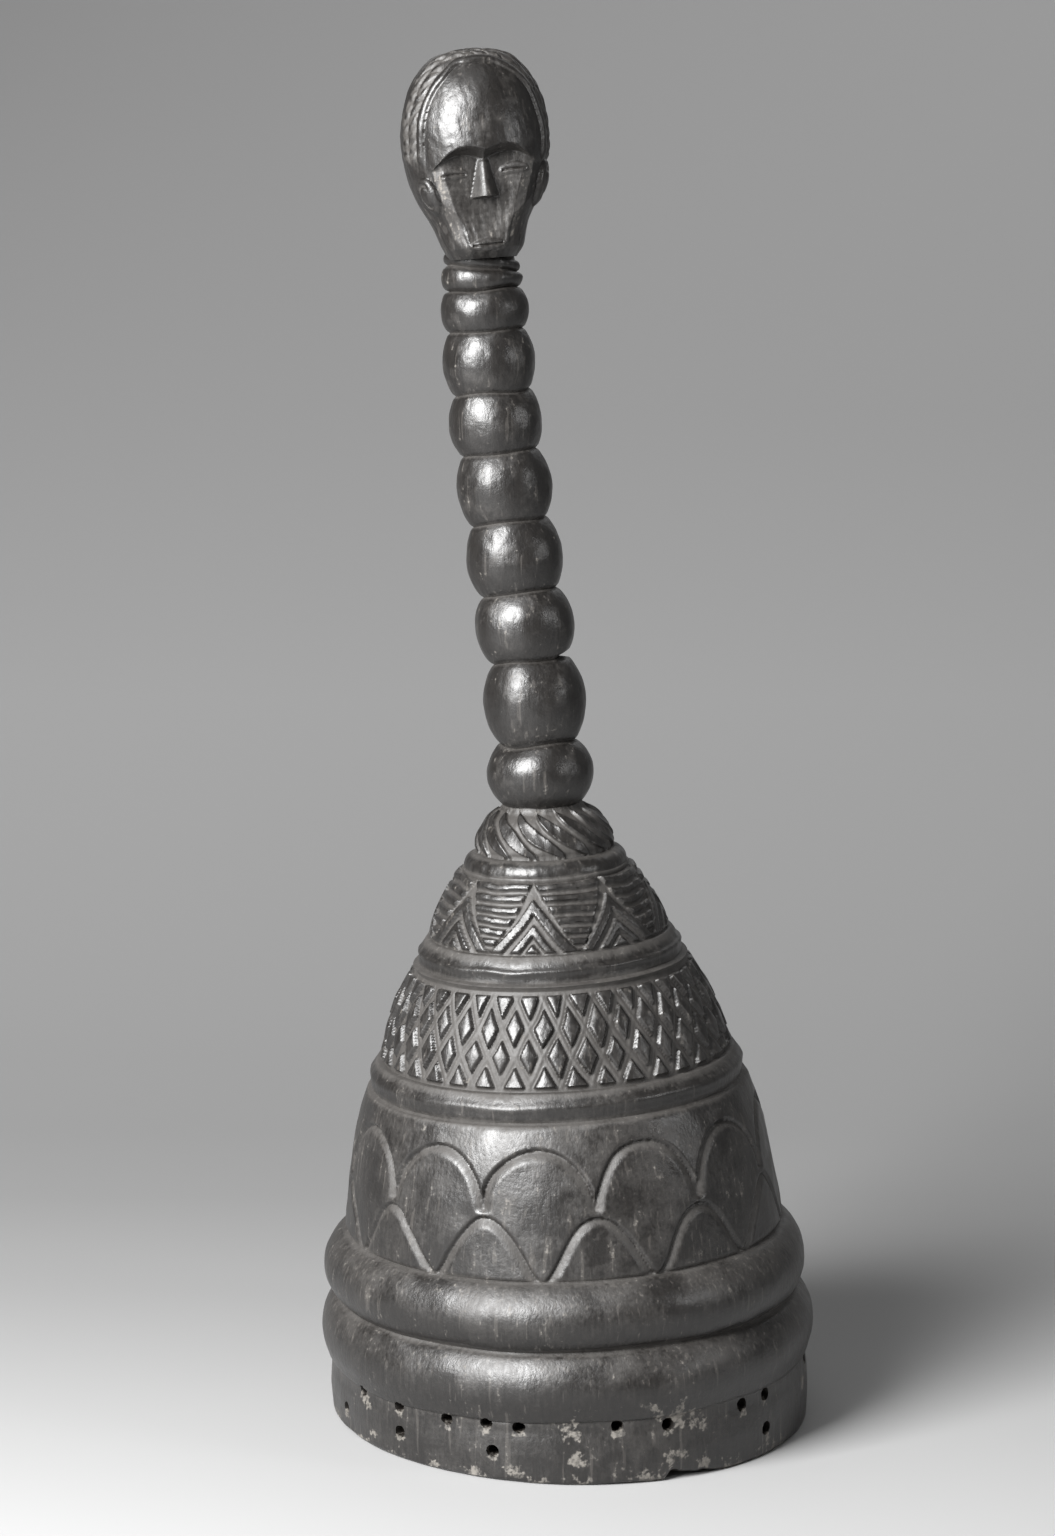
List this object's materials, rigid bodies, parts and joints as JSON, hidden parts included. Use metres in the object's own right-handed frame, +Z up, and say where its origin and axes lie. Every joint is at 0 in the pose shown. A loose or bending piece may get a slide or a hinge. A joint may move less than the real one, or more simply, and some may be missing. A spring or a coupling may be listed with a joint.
{
  "type": "helmet mask",
  "caption": "Tall wooden helmet mask: a hollow bell-shaped base with carved bands, a long beaded neck that leans, and a small carved head on top.",
  "frame": {"origin": "on the plane the rim stands on, under the middle of the whole mask", "axes": "X across the mask with +X at its own left, the front of the head and of the bell toward -Y, Z up the mask"},
  "size_m": [0.2446, 0.2708, 0.6817],
  "materials": {
    "blackened_wood": "dark glossy patina, pale dust in the carving, worn at the rim"
  },
  "bodies": {
    "root": {"mask": "blackened_wood"}
  },
  "joints": []
}
